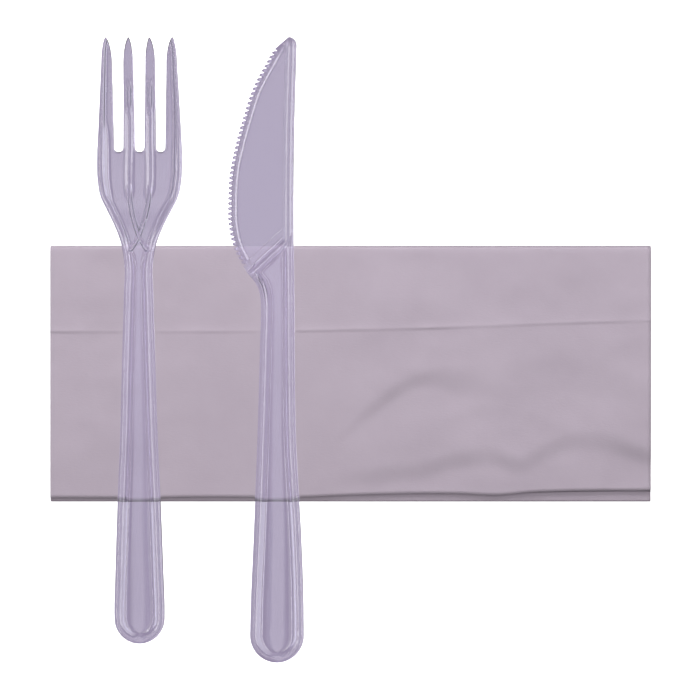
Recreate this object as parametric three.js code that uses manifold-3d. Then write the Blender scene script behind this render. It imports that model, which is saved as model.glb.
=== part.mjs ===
// Disposable cutlery pack: a moulded fork and a serrated knife lying across a folded tissue napkin.
// Millimetres, +Z up, +Y towards the tine tips. The origin is at the middle of the pack's footprint,
// on the surface that it lies on.

import * as THREE from 'three';
import { mergeVertices } from 'three/addons/utils/BufferGeometryUtils.js';
import Module from 'manifold-3d';

const wasm = await Module();
wasm.setup();

// ---------------------------------------------------------------------------- driving dimensions

const GAP = 0.3;                 // air left between two pieces that rest on each other

const NAPKIN = {
  sheet: [358, 299.4],             // the tissue laid flat, across and along
  leaf: 0.22,                    // two plies
  air: 0.1,                      // air that each fold holds between its leaves
  short: 2.4,                    // how far the upper pile stops short of the lower one
  topEdge: 31.1,                 // y of the last fold
  arcSteps: 6,
};

// A handle's channel: from the outline to the rim's inner edge, to the floor, and from the knife's
// slanting end wall to the floor. The last is the thickness of plastic under the channel.
const RIM = { land: 1.8, foot: 3.0, wall: 1.9 };
const FLOOR = 1.5;

const FORK = {
  x: -62.9, y: -87.6,            // where the handle's end lies
  length: 180.6,
  endRadius: 7.5,
  slotRadius: 1.34,
  slotRoot: 148.05,              // centre of the slots' round bottoms, from the handle's end
  channelEnd: 116,
  dishStart: 114, dishDepth: 0.45,
  ribRadius: 0.55,
  ribSink: 0.2,                  // rib axis below the palm's rim
};

const KNIFE = {
  x: -21.9, y: -93.1,
  endRadius: 8.05,
  height: 3.0,
  bladeLow: 0.8, bladeHigh: 2.0, // the blade's web, from the knife's underside
  bevelWidth: 1.85, bevelDrop: 0.4,
  toothPitch: 1.53, toothDepth: 1.1,
  railWidth: 2.6, railDrop: 0.1, // the rail stands a little lower than the handle's rims
  railStart: 122.5,
};

// ------------------------------------------------------------------------------------- utilities

/** A closed three.js geometry as a solid that can be joined and cut. */
function solid(geometry) {
  const bare = geometry.clone();
  bare.deleteAttribute('normal');
  bare.deleteAttribute('uv');
  const merged = mergeVertices(bare, 1e-5);
  return new wasm.Manifold(new wasm.Mesh({
    numProp: 3,
    vertProperties: Float32Array.from(merged.attributes.position.array),
    triVerts: Uint32Array.from(merged.index.array),
  }));
}

/** A joined and cut solid back as a three.js geometry. */
function toGeometry(body) {
  const mesh = body.getMesh();
  const geometry = new THREE.BufferGeometry();
  geometry.setAttribute('position', new THREE.BufferAttribute(mesh.vertProperties, 3));
  geometry.setIndex(new THREE.BufferAttribute(mesh.triVerts, 1));
  geometry.computeVertexNormals();
  return geometry;
}

/** A plan outline raised from one height to another. */
function prism(shape, low, high, curveSegments = 8) {
  const geometry = new THREE.ExtrudeGeometry(shape, { depth: high - low, bevelEnabled: false, curveSegments });
  return geometry.translate(0, 0, low);
}

/** A smooth curve through [place, value] pairs, as a function of the place. */
function along(pairs) {
  const curve = new THREE.CubicInterpolant(
    pairs.map(([place]) => place), pairs.map(([, value]) => value), 1, new Float64Array(1));
  return (place) => curve.evaluate(place)[0];
}

/**
 * A bar from y0 to y1 whose four-cornered section is given at every station: corner(side, level, y).
 * A crowding above 1 brings the stations closer together towards y0.
 */
function bar(y0, y1, steps, corner, crowding = 1) {
  const section = new THREE.Shape([
    new THREE.Vector2(-1, 0), new THREE.Vector2(1, 0), new THREE.Vector2(1, 1), new THREE.Vector2(-1, 1)]);
  const geometry = new THREE.ExtrudeGeometry(section, { depth: 1, steps, bevelEnabled: false });
  const position = geometry.attributes.position;
  for (let i = 0; i < position.count; i += 1) {
    const y = THREE.MathUtils.lerp(y0, y1, (1 - position.getZ(i)) ** crowding);
    const [x, z] = corner(position.getX(i), position.getY(i), y);
    position.setXYZ(i, x, y, z);
  }
  return geometry;
}

/** A closed outline from its right half, which runs from the foot of the axis to its top. */
function mirrored(half, divisions) {
  const right = half.getPoints(divisions);
  const left = right.filter((p) => p.x > 1e-6).map((p) => new THREE.Vector2(-p.x, p.y)).reverse();
  return new THREE.Shape([...right, ...left]);
}

// ------------------------------------------------------------------------------------------ fork

// Half widths of the handle and the head, from the handle's end.
const forkSide = [
  [7.15, 22], [6.48, 41], [5.62, 61], [4.95, 84], [4.4, 103], [4.25, 113.5], [5.2, 118.9],
  [7.3, 124.5], [9.8, 129.5], [11.5, 133], [12.5, 138], [12.74, 143.5], [12.66, 149.6],
];

// Tines, each with its inner and outer edge at the root and at the shoulder, and its tip.
const forkTines = [
  { root: [7.6, 12.66], shoulder: [8.05, 11.3], tip: 9.95 },
  { root: [1.34, 4.92], shoulder: [1.79, 4.77], tip: 3.1 },
];
const SHOULDER_AT = 173.4;       // where the tines begin to draw in to their tips
const TIP_BLUNT = 0.25;          // half width of a tine's very tip

// The side view: the fork stands on its handle's end and on the bottom of its palm.
const forkUnder = along([
  [-2, 0.3], [4, 0], [25, 1.75], [60, 5.0], [95, 7.7], [110, 8.0], [122, 6.2], [135, 2.4], [147, 0.15],
  [155, 0.45], [167, 3.0], [182, 7.6],
]);
const forkThickness = along([
  [-2, 2.6], [4, 3.0], [60, 3.2], [105, 3.3], [118, 2.9], [128, 2.0], [145, 1.9], [165, 1.9], [182, 1.1],
]);
const forkTop = (y) => forkUnder(y) + forkThickness(y);

/** The fork's plan outline, with its three slots. */
function forkOutline() {
  const { endRadius, slotRadius, slotRoot, length } = FORK;
  const half = new THREE.Path();
  half.moveTo(0, 0);
  half.absarc(0, endRadius, endRadius, -Math.PI / 2, 0, false);
  half.splineThru(forkSide.map(([x, y]) => new THREE.Vector2(x, y)));
  forkTines.forEach((tine, i) => {
    const [inner, outer] = tine.shoulder;
    half.lineTo(outer, SHOULDER_AT);
    half.quadraticCurveTo(outer - 0.35, length - 2, tine.tip + TIP_BLUNT, length);
    half.lineTo(tine.tip - TIP_BLUNT, length);
    half.quadraticCurveTo(inner + 0.35, length - 2, inner, SHOULDER_AT);
    half.lineTo(tine.root[0], slotRoot);
    const slotCentre = tine.root[0] - slotRadius;
    half.absarc(slotCentre, slotRoot, slotRadius, 0, i === 0 ? -Math.PI : -Math.PI / 2, true);
  });
  return mirrored(half, 5);
}

/** The palm and the tines' top faces, sunk a little between flanges that follow the outline. */
function forkDish() {
  const { dishStart, dishDepth, length } = FORK;
  return bar(dishStart, length + 1, 34, (side, level, y) => {
    const depth = dishDepth * THREE.MathUtils.clamp((y - dishStart) / 8, 0.02, 1);
    return [side * (forkHeadSide(y) - forkFlange(y)), forkTop(y) + (level ? 1 : -depth)];
  });
}
const forkHeadSide = along([...forkSide.slice(4).map(([x, y]) => [y, x]), [161.5, 12.15], [173.4, 11.3],
  [182, 9.9]]);
const forkFlange = along([[110, 1.9], [137, 1.9], [155, 1.35], [170, 0.9], [182, 0.75]]);

/** Half width of the handle's outline drawn in by an inset. */
function forkHandleWidth(y, inset) {
  const reach = FORK.endRadius - inset;
  const straight = forkHandleSide(y) - inset;
  if (y >= FORK.endRadius) return straight;
  return Math.min(straight, Math.sqrt(Math.max(reach ** 2 - (FORK.endRadius - y) ** 2, 0)));
}
const forkHandleSide = along([[0, FORK.endRadius], [8, 7.5], ...forkSide.slice(0, 6).map(([x, y]) => [y, x])]);

/** The shallow channel in the top of the handle, between its two rims. */
function forkChannel() {
  const start = RIM.land + 0.02;
  return bar(start, FORK.channelEnd, 40, (side, level, y) => {
    const fromEnd = Math.min(1, (y - start) / (RIM.foot - start), (FORK.channelEnd - y) / 12);
    const floor = THREE.MathUtils.lerp(forkTop(y), forkUnder(y) + FLOOR, Math.max(fromEnd, 0.01));
    const width = forkHandleWidth(y, level ? RIM.land : RIM.foot);
    return [side * Math.max(width, 0.02), level ? forkTop(y) + 0.5 : floor];
  }, 2);
}

/** A stiffening rib that starts on an inner tine and crosses its twin above the neck. */
function forkRib(side) {
  const route = [
    [2.4, 117.2], [0, 121.3], [-1.2, 125], [-2.35, 129.5], [-3.0, 135], [-3.05, 150], [-3.1, 170],
  ].map(([x, y]) => new THREE.Vector3(side * x, y, forkTop(y) - FORK.ribSink));
  const section = new THREE.Shape();
  section.absarc(0, 0, FORK.ribRadius, 0, 2 * Math.PI, false);
  return new THREE.ExtrudeGeometry(section, {
    extrudePath: new THREE.CatmullRomCurve3(route), steps: 40, curveSegments: 4, bevelEnabled: false });
}

function fork() {
  const reach = 15;
  const sheet = solid(bar(-1, FORK.length + 1, 62, (side, level, y) =>
    [side * reach, level ? forkTop(y) : forkUnder(y)]));
  const outline = solid(prism(forkOutline(), -5, 25));
  return sheet
    .intersect(outline)
    .subtract(solid(forkChannel()))
    .subtract(solid(forkDish()))
    .add(solid(forkRib(1)))
    .add(solid(forkRib(-1)));
}

// ----------------------------------------------------------------------------------------- knife

// The cutting edge, from the nose to the heel.
const edgeCurve = new THREE.SplineCurve([
  [-0.33, 183.1], [-3.75, 177.8], [-7.2, 171.2], [-10.0, 162.9], [-12.5, 153.9], [-14.0, 146.8],
  [-14.6, 137.2], [-14.45, 130.4], [-13.1, 124.1], [-9.5, 117.3],
].map(([x, y]) => new THREE.Vector2(x, y)));

// The back of the knife, from the handle's round end to the nose, and its front, from the heel down.
const knifeBack = [
  [8.05, 8.05], [7.95, 18.6], [7.33, 36.5], [5.65, 66.3], [5.3, 90], [5.2, 108], [5.0, 125], [5.2, 158.7],
  [5.85, 181.5],
];
const knifeFront = [
  [-9.3, 116.9], [-7.8, 114.9], [-6.4, 113.1], [-5.35, 110.8], [-4.85, 108], [-4.75, 104], [-4.95, 96],
  [-5.84, 66.3], [-7.0, 36.5], [-7.75, 18.6], [-8.05, 8.05],
];
const nose = { tip: [3.45, 186.3], shoulder: [5.75, 184.6] };

// The slanting wall that ends the handle's thick part, between the heel and the rail.
const wallHeel = new THREE.Vector2(-7.5, 115.3);
const wallSlope = 0.933;
const wallAt = (x) => wallHeel.y + wallSlope * (x - wallHeel.x);

const splineOf = (pairs) => new THREE.SplineCurve(pairs.map(([x, y]) => new THREE.Vector2(x, y)));
const backCurve = splineOf(knifeBack);
const frontCurve = splineOf(knifeFront);

/** Points along a curve, drawn in to the left of its direction by an inset. */
function drawnIn(curve, count, inset) {
  return Array.from({ length: count + 1 }, (_, i) => {
    const tangent = curve.getTangentAt(i / count);
    return curve.getPointAt(i / count).add(new THREE.Vector2(-tangent.y, tangent.x).multiplyScalar(inset));
  });
}

/** The blade's outline on the cutting side: straight ramps between peaks and notches. */
function teeth() {
  const { toothPitch, toothDepth } = KNIFE;
  const count = 2 * Math.round(edgeCurve.getLength() / toothPitch);
  const peaks = drawnIn(edgeCurve, count, 0);
  const notches = drawnIn(edgeCurve, count, toothDepth);
  return peaks.map((peak, i) => (i % 2 ? notches[i] : peak));
}

/** The blade's outline above the handle, closed across the neck. */
function bladeOutline(edge) {
  const shape = new THREE.Shape();
  shape.moveTo(...knifeBack[5]);
  shape.splineThru(splineOf(knifeBack.slice(6)).points);
  shape.quadraticCurveTo(...nose.shoulder, ...nose.tip);
  edge.forEach((p) => shape.lineTo(p.x, p.y));
  shape.splineThru(splineOf(knifeFront.slice(1, 6)).points);
  return shape;
}

/** The handle's thick part below its slanting wall, drawn in from the sides and from the wall. */
function handleOutline(inset, wallInset) {
  const drop = wallInset * Math.hypot(1, wallSlope);
  const inside = (p) => p.y < wallAt(p.x) - drop;
  const back = drawnIn(backCurve, 80, inset).filter(inside).slice(1);
  const front = drawnIn(frontCurve, 60, inset).filter(inside).slice(0, -1);
  const onWall = (p) => new THREE.Vector2(p.x, wallAt(p.x) - drop);
  const shape = new THREE.Shape([...back, onWall(back.at(-1)), onWall(front[0]), ...front]);
  shape.absarc(0, KNIFE.endRadius, KNIFE.endRadius - inset, Math.PI, 2 * Math.PI, false);
  return shape;
}

/** The channel in the top of the handle: a plug whose walls slope out from the floor to the rims. */
function knifeChannel() {
  return new THREE.ExtrudeGeometry(handleOutline(RIM.foot, RIM.wall), {
    depth: 1, bevelEnabled: true, bevelSegments: 1, bevelSize: RIM.foot - RIM.land,
    bevelThickness: KNIFE.height - FLOOR, curveSegments: 8,
  }).translate(0, 0, KNIFE.height);
}

/** The blade's web, thinned to its edge from both faces and then notched. */
function blade() {
  const { bladeLow, bladeHigh, bevelWidth, bevelDrop } = KNIFE;
  const web = new THREE.ExtrudeGeometry(bladeOutline(drawnIn(edgeCurve, 36, bevelWidth)), {
    depth: bladeHigh - bladeLow - 2 * bevelDrop, bevelEnabled: true, bevelSegments: 1,
    bevelSize: bevelWidth, bevelThickness: bevelDrop, curveSegments: 6,
  }).translate(0, 0, bladeLow + bevelDrop);
  return solid(web).intersect(solid(prism(bladeOutline(teeth()), 0, KNIFE.height)));
}

/** The thick rail along the back of the blade, which runs into the handle. */
function rail() {
  const { railWidth, railDrop, railStart, height } = KNIFE;
  const outer = drawnIn(backCurve, 60, 0).filter((p) => p.y > railStart);
  const inner = drawnIn(backCurve, 60, railWidth).filter((p) => p.y > railStart);
  const shape = new THREE.Shape(outer);
  shape.quadraticCurveTo(...nose.shoulder, ...nose.tip);
  inner.reverse().forEach((p) => shape.lineTo(p.x, p.y));
  return prism(shape, 0, height - railDrop);
}

function knife() {
  return solid(prism(handleOutline(0, 0), 0, KNIFE.height))
    .add(blade())
    .add(solid(rail()))
    .subtract(solid(knifeChannel()));
}

// ---------------------------------------------------------------------------------------- napkin

/** A halving fold: place `along` the layer from the fold line and `out` from its middle surface. */
function fold(place, out, radius) {
  const quarter = (Math.PI / 2) * radius;
  if (place >= quarter) return [place - quarter, radius + out];
  if (place <= -quarter) return [-place - quarter, -(radius + out)];
  const turn = place / radius;
  return [-(radius + out) * Math.cos(turn), (radius + out) * Math.sin(turn)];
}

/** Stations along a sheet: its two ends and the steps round each fold. */
function stations(length, folds, steps) {
  const places = [-length / 2, length / 2];
  folds.forEach(({ at, radius }) => {
    for (let i = 0; i <= steps; i += 1) places.push(at + (Math.PI * radius * (i / steps - 0.5)));
  });
  return places.sort((a, b) => a - b);
}

function napkin() {
  const { sheet: [across, alongY], leaf, air, short, topEdge, arcSteps } = NAPKIN;
  // Thickness of one, two, four and eight leaves, and the bend radius of each fold.
  const thick = [leaf];
  for (let i = 0; i < 3; i += 1) thick.push(2 * thick[i] + air);
  const radius = thick.slice(0, 3).map((t) => (t + air) / 2);

  // Where the last fold's line lies on the layers that the second fold makes.
  const quarter = (Math.PI / 2) * radius[1];
  const openEnd = alongY / 2 - quarter;
  const foldedEnd = -(radius[1] + thick[1] / 2);
  const lastLine = (openEnd + foldedEnd + short) / 2;

  const xStations = stations(across, [{ at: 0, radius: radius[0] }], arcSteps);
  const yStations = stations(alongY, [
    { at: 0, radius: radius[1] },
    { at: lastLine + quarter, radius: radius[2] },
    { at: -lastLine - quarter, radius: radius[2] },
  ], arcSteps);

  const place = (a, b, c) => {
    const [x, z1] = fold(a, c, radius[0]);
    const [y2, z2] = fold(b, z1, radius[1]);
    const [y3, z3] = fold(y2 - lastLine, z2, radius[2]);
    return [x, y3, z3];
  };

  const nx = xStations.length - 1;
  const ny = yStations.length - 1;
  const geometry = new THREE.BoxGeometry(nx, ny, 1, nx, ny, 1);
  const position = geometry.attributes.position;
  for (let i = 0; i < position.count; i += 1) {
    const a = xStations[Math.round(position.getX(i) + nx / 2)];
    const b = yStations[Math.round(position.getY(i) + ny / 2)];
    position.setXYZ(i, ...place(a, b, position.getZ(i) * leaf));
  }
  geometry.deleteAttribute('normal');
  geometry.deleteAttribute('uv');
  geometry.computeBoundingBox();
  const box = geometry.boundingBox;
  geometry.translate(-(box.min.x + box.max.x) / 2, -box.min.y, -box.min.z);
  // Turned over about X, so that the last fold is the far edge and the open edges stay on top.
  geometry.scale(1, -1, 1);
  geometry.translate(0, topEdge, 0);
  const flipped = mergeVertices(geometry, 1e-5);
  const index = flipped.index.array;
  for (let i = 0; i < index.length; i += 3) [index[i], index[i + 1]] = [index[i + 1], index[i]];
  flipped.computeVertexNormals();
  return flipped;
}

// ------------------------------------------------------------------------------------------ pack

const polystyrene = { color: 0xc4bbd2, roughness: 0.12, metalness: 0 };

function piece(name, geometry, material, position) {
  const mesh = new THREE.Mesh(geometry, new THREE.MeshStandardMaterial(material));
  mesh.name = name;
  mesh.position.set(...position);
  return mesh;
}

const pack = new THREE.Group();
const napkinGeometry = napkin();
napkinGeometry.computeBoundingBox();
const napkinTop = napkinGeometry.boundingBox.max.z;
pack.add(piece('napkin', napkinGeometry, { color: 0xb0a5b3, roughness: 0.95, metalness: 0 }, [0, 0, 0]));
pack.add(piece('fork', toGeometry(fork()), polystyrene, [FORK.x, FORK.y, 0]));
pack.add(piece('knife', toGeometry(knife()), polystyrene, [KNIFE.x, KNIFE.y, napkinTop + GAP]));

export default pack;
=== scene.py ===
"""A disposable cutlery pack: clear fork and serrated knife across a folded tissue napkin.

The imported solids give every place. Lengths inside the shape functions are millimetres, in each
piece's own frame: x across it, y from the end of its handle towards its tip, z up from the surface
that the pack lies on.
"""

import bisect
import math

import bmesh
import bpy
from bpy.props import FloatProperty, PointerProperty, StringProperty
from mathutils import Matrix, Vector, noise


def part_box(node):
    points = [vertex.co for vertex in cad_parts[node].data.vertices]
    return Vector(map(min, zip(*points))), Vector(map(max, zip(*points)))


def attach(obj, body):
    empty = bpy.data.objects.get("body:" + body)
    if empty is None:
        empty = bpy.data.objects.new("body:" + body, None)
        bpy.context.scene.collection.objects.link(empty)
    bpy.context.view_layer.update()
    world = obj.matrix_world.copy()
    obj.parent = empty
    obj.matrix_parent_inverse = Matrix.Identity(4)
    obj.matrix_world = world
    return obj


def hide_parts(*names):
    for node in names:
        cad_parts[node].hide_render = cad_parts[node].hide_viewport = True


bl_info = {
    "name": "Cutlery Pack",
    "version": (1, 0, 0),
    "blender": (4, 5, 0),
    "location": "View3D > Sidebar > Cutlery",
    "description": "Builds a clear fork and knife on a folded tissue napkin",
    "category": "Add Mesh",
}

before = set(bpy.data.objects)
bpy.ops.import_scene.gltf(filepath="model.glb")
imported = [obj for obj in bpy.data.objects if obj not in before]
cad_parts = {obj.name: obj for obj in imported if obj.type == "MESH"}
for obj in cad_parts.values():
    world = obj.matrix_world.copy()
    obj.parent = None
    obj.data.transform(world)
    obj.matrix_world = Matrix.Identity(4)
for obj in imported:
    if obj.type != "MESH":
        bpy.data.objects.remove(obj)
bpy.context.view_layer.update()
MM = 0.001


# --------------------------------------------------------------------------------- small numbers


def through(pairs):
    """A smooth curve through (place, value) pairs, as a function of the place."""
    places = [p for p, _ in pairs]
    values = [v for _, v in pairs]
    last = len(pairs) - 1
    rises = [(values[i + 1] - values[i]) / (places[i + 1] - places[i]) for i in range(last)]
    slopes = [rises[0]]
    for i in range(1, last):
        before, after = places[i] - places[i - 1], places[i + 1] - places[i]
        slopes.append((rises[i - 1] * after + rises[i] * before) / (before + after))
    slopes.append(rises[-1])

    def value(place):
        i = min(max(bisect.bisect_right(places, place) - 1, 0), last - 1)
        width = places[i + 1] - places[i]
        t = min(max((place - places[i]) / width, 0.0), 1.0)
        hold = values[i] * (1 + 2 * t) * (1 - t) ** 2 + values[i + 1] * t * t * (3 - 2 * t)
        return hold + width * (slopes[i] * t * (1 - t) ** 2 - slopes[i + 1] * t * t * (1 - t))

    return value


def chamfers(pairs, soften=0.05):
    """Straight facets between (depth, drop) pairs, their corners softened over a small width."""
    places = [p for p, _ in pairs]
    drops = [d for _, d in pairs]

    def straight(place):
        i = min(max(bisect.bisect_right(places, place) - 1, 0), len(places) - 2)
        share = min(max((place - places[i]) / (places[i + 1] - places[i]), 0.0), 1.0)
        return drops[i] + (drops[i + 1] - drops[i]) * share

    def drop(place):
        return (straight(place - soften) + 2 * straight(place) + straight(place + soften)) / 4

    return drop


def ramp(value, low, high):
    """0 below low, 1 above high, and a smooth step between them."""
    t = min(max((value - low) / (high - low), 0.0), 1.0)
    return t * t * (3 - 2 * t)


def between(value, rise, risen, fall, fallen):
    """1 from risen to fall, 0 before rise and after fallen, and smooth steps between them."""
    return ramp(value, rise, risen) * (1 - ramp(value, fall, fallen))


def mix(a, b, share):
    return a + (b - a) * share


def soft_min(a, b, blend):
    """The smaller of two heights, rounded over a blend width where they cross."""
    near = max(blend - abs(a - b), 0.0) / blend
    return min(a, b) - near * near * blend / 4


def soft_max(a, b, blend):
    return -soft_min(-a, -b, blend)


def rounded(depth, radius):
    """How far a rounded edge has fallen at a depth in from the outline."""
    if depth >= radius:
        return 0.0
    inside = max(radius - depth, 0.0)
    return radius - math.sqrt(max(radius * radius - inside * inside, 0.0))


def spread(count, crowd):
    """Shares from 0 to 1 in count steps, crowded towards both ends by crowd."""
    even = [i / count for i in range(count + 1)]
    return [mix(t, 0.5 - 0.5 * math.cos(math.pi * t), crowd) for t in even]


# ------------------------------------------------------------------------------- colours and nodes

# Sizes of the patterns, in millimetres. Real creping ridges lie about 0.2 mm apart, and are drawn
# coarser here so that they show.
FLOW_SIZE = 5.556                   # streaks of haze where the melt flowed
SINK_SIZE = 10.53                   # soft waves where it shrank
CLOUD_SIZE = 26.32                  # clouds of darker dye
CREPE_SIZE = 1.111                  # length of a creping ridge
CREPE_LENGTH = 2.6                  # and its length over its width


def srgb(code):
    """A linear colour from an sRGB hex code."""
    channels = [int(code[i:i + 2], 16) / 255 for i in (1, 3, 5)]
    linear = [c / 12.92 if c <= 0.04045 else ((c + 0.055) / 1.055) ** 2.4 for c in channels]
    return (*linear, 1.0)


def add_node(tree, kind, settings=(), links=(), **values):
    """Adds a node, sets its fields and sockets, and links sockets of earlier nodes into it."""
    node = tree.nodes.new(kind)
    for field, value in dict(settings).items():
        setattr(node, field, value)
    for name, value in values.items():
        node.inputs[name.replace("_", " ")].default_value = value
    for name, source in dict(links).items():
        tree.links.new(source, node.inputs[name])
    return node


def new_material(name):
    material = bpy.data.materials.new(name)
    material.use_nodes = True
    material.node_tree.nodes.clear()
    return material, material.node_tree


def per_metre(size):
    """A noise's scale on Object coordinates for features of a size in millimetres."""
    return 1 / (size * MM)


def crystal_polystyrene(look):
    """Crystal polystyrene, injection moulded: glass-clear with a lilac dye, so the eye sees it by the
    bright and dark lines that its edges bend, and by a faint flow haze in the gloss."""
    material, tree = new_material("crystal_polystyrene")
    place = add_node(tree, "ShaderNodeTexCoord")
    flow = add_node(tree, "ShaderNodeTexNoise", links={"Vector": place.outputs["Object"]},
                    Scale=per_metre(FLOW_SIZE), Detail=2.0, Roughness=0.5)
    haze = add_node(tree, "ShaderNodeMapRange", links={"Value": flow.outputs["Fac"]},
                    To_Min=look.roughness * 0.7, To_Max=look.roughness * 1.4)
    waves = add_node(tree, "ShaderNodeTexNoise", links={"Vector": place.outputs["Object"]},
                     Scale=per_metre(SINK_SIZE), Detail=1.0, Roughness=0.4)
    sink = add_node(tree, "ShaderNodeBump", links={"Height": waves.outputs["Fac"]},
                    Strength=0.12, Distance=0.4 * MM)
    shader = add_node(
        tree, "ShaderNodeBsdfPrincipled",
        links={"Roughness": haze.outputs["Result"], "Normal": sink.outputs["Normal"]},
        Base_Color=srgb(look.tint), IOR=1.59, Transmission_Weight=1.0)
    add_node(tree, "ShaderNodeOutputMaterial", links={"Surface": shader.outputs["BSDF"]})
    return material


def dyed_tissue(look):
    """Two-ply tissue, dyed mauve and embossed by its creping felt: matt and fibrous, a little
    uneven in colour, with short creping ridges across the sheet."""
    material, tree = new_material("dyed_tissue")
    place = add_node(tree, "ShaderNodeTexCoord")
    cloud = add_node(tree, "ShaderNodeTexNoise", links={"Vector": place.outputs["Object"]},
                     Scale=per_metre(CLOUD_SIZE), Detail=4.0, Roughness=0.6)
    colour = add_node(tree, "ShaderNodeValToRGB", links={"Fac": cloud.outputs["Fac"]})
    colour.color_ramp.elements[0].position = 0.3
    colour.color_ramp.elements[0].color = srgb(look.shade)
    colour.color_ramp.elements[1].position = 0.7
    colour.color_ramp.elements[1].color = srgb(look.dye)
    across = add_node(tree, "ShaderNodeMapping", links={"Vector": place.outputs["Object"]},
                      Scale=(1.0, CREPE_LENGTH, 1.0))
    crepe = add_node(tree, "ShaderNodeTexNoise", links={"Vector": across.outputs["Vector"]},
                     Scale=per_metre(CREPE_SIZE), Detail=3.0, Roughness=0.65)
    relief = add_node(tree, "ShaderNodeBump", links={"Height": crepe.outputs["Fac"]},
                      Strength=0.25, Distance=0.2 * MM)
    shader = add_node(
        tree, "ShaderNodeBsdfPrincipled",
        links={"Base Color": colour.outputs["Color"], "Normal": relief.outputs["Normal"]},
        Roughness=0.92, Specular_IOR_Level=0.2, Sheen_Weight=0.15, Sheen_Roughness=0.6)
    add_node(tree, "ShaderNodeOutputMaterial", links={"Surface": shader.outputs["BSDF"]})
    return material


# ---------------------------------------------------------------------------------- mesh helpers


def plan_sheet(columns, rows, place, open_cell=None):
    """A flat grid whose vertices are put at place(column, row), with its collapsed ends merged.

    Cells for which open_cell(column, row) is true are left out.
    """
    bm = bmesh.new()
    bmesh.ops.create_grid(bm, x_segments=columns, y_segments=rows, size=0.5)
    if open_cell:
        gone = [
            face for face in bm.faces
            if open_cell(
                math.floor((face.calc_center_median().x + 0.5) * columns),
                math.floor((face.calc_center_median().y + 0.5) * rows),
            )
        ]
        bmesh.ops.delete(bm, geom=gone, context="FACES")
    for vertex in bm.verts:
        column = round((vertex.co.x + 0.5) * columns)
        row = round((vertex.co.y + 0.5) * rows)
        vertex.co = (*place(column, row), 0.0)
    bmesh.ops.remove_doubles(bm, verts=bm.verts, dist=1e-5)
    return bm


def face_outwards(bm):
    """Turns a closed body's faces so that all of them look out of it."""
    bmesh.ops.recalc_face_normals(bm, faces=bm.faces)
    if bm.calc_volume(signed=True) < 0:
        bmesh.ops.reverse_faces(bm, faces=bm.faces)


def give_body(bm, top, under):
    """Turns a flat plan into a closed solid between two height functions of x and y."""
    made = bmesh.ops.extrude_face_region(bm, geom=bm.faces[:])
    lower = {v for v in made["geom"] if isinstance(v, bmesh.types.BMVert)}
    for vertex in bm.verts:
        height = under if vertex in lower else top
        vertex.co.z = height(vertex.co.x, vertex.co.y)
    face_outwards(bm)


def new_piece(bm, name, material, origin):
    """A shown piece from a mesh in millimetres, with its place in its mesh."""
    bmesh.ops.scale(bm, vec=(MM, MM, MM), verts=bm.verts)
    bmesh.ops.translate(bm, vec=origin, verts=bm.verts)
    mesh = bpy.data.meshes.new(name)
    bm.to_mesh(mesh)
    bm.free()
    mesh.shade_smooth()
    mesh.materials.append(material)
    piece = bpy.data.objects.new(name, mesh)
    bpy.context.scene.collection.objects.link(piece)
    return piece


# ------------------------------------------------------------------------------------- the rims

RIM_CREST = 1.3                     # depth at which a handle's rim is highest
RIM_FOOT = 3.2                      # and where its inner slope meets the channel's floor
CHANNEL_SINK = 0.22                 # how much deeper the floor's middle is than its edge
SINK_STARTS = (2.6, 4.4)            # depths between which the sinking sets in
SINK_FADES = 0.4                    # how far outside the rim's foot it has faded out
SINK_ROOM = 4.8                     # half width of a floor that sinks by the whole of it
GATE_BEVEL = (0.03, 0.7)            # slope and width of a gate mark's edge
END_ROWS = 14                       # rows round a quarter turn of a handle's end

# Depth in from the outline, and how far the surface has dropped below the rim's crest.
soft_rim = chamfers([
    (0, 0.92), (0.15, 0.42), (0.45, 0.1), (0.95, 0.0), (1.45, 0.0), (2.05, 0.12), (3.0, 1.15),
    (3.5, 1.3), (6, 1.32),
])
steep_rim = chamfers([
    (0, 0.95), (0.12, 0.7), (1.05, 0.05), (1.2, 0.0), (1.45, 0.0), (2.05, 0.12), (3.0, 1.15),
    (3.5, 1.3), (6, 1.32),
])


def channel_sag(depth, half):
    """How far the floor sags towards the middle of a handle of a half width."""
    aside = min((half - min(depth, half)) / (half - RIM_FOOT + SINK_FADES), 1.0)
    roomy = min((half - RIM_FOOT) / SINK_ROOM, 1.0) ** 2
    return CHANNEL_SINK * roomy * (1 - aside * aside) * ramp(depth, *SINK_STARTS)


def gate_mark(x, y, centre, radius):
    """The round mark that the mould's gate left, a little proud of the floor."""
    inside = radius - math.hypot(x - centre[0], y - centre[1])
    slope, width = GATE_BEVEL
    return -slope * min(max(inside, 0.0), width)


def steepness(line, y, step=0.2):
    """How much longer a distance is across x than square to a line, given as x for each y."""
    return math.hypot(1, (line(y + step) - line(y - step)) / (2 * step))


def rows_along(spans, tip, tip_rows):
    """Rows of a plan: round the handle's end, along (start, end, count) spans and up to the tip.

    Those round the end are negative, and count quarter turns back from the handle's sides.
    """
    rows = [-1 + i / END_ROWS for i in range(END_ROWS)]
    for start, end, count in spans:
        rows += [mix(start, end, i / count) for i in range(count)]
    last = spans[-1][1]
    rows += [mix(last, tip, math.sin(math.pi / 2 * i / tip_rows)) for i in range(tip_rows + 1)]
    return rows


# ----------------------------------------------------------------------------------------- fork

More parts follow.
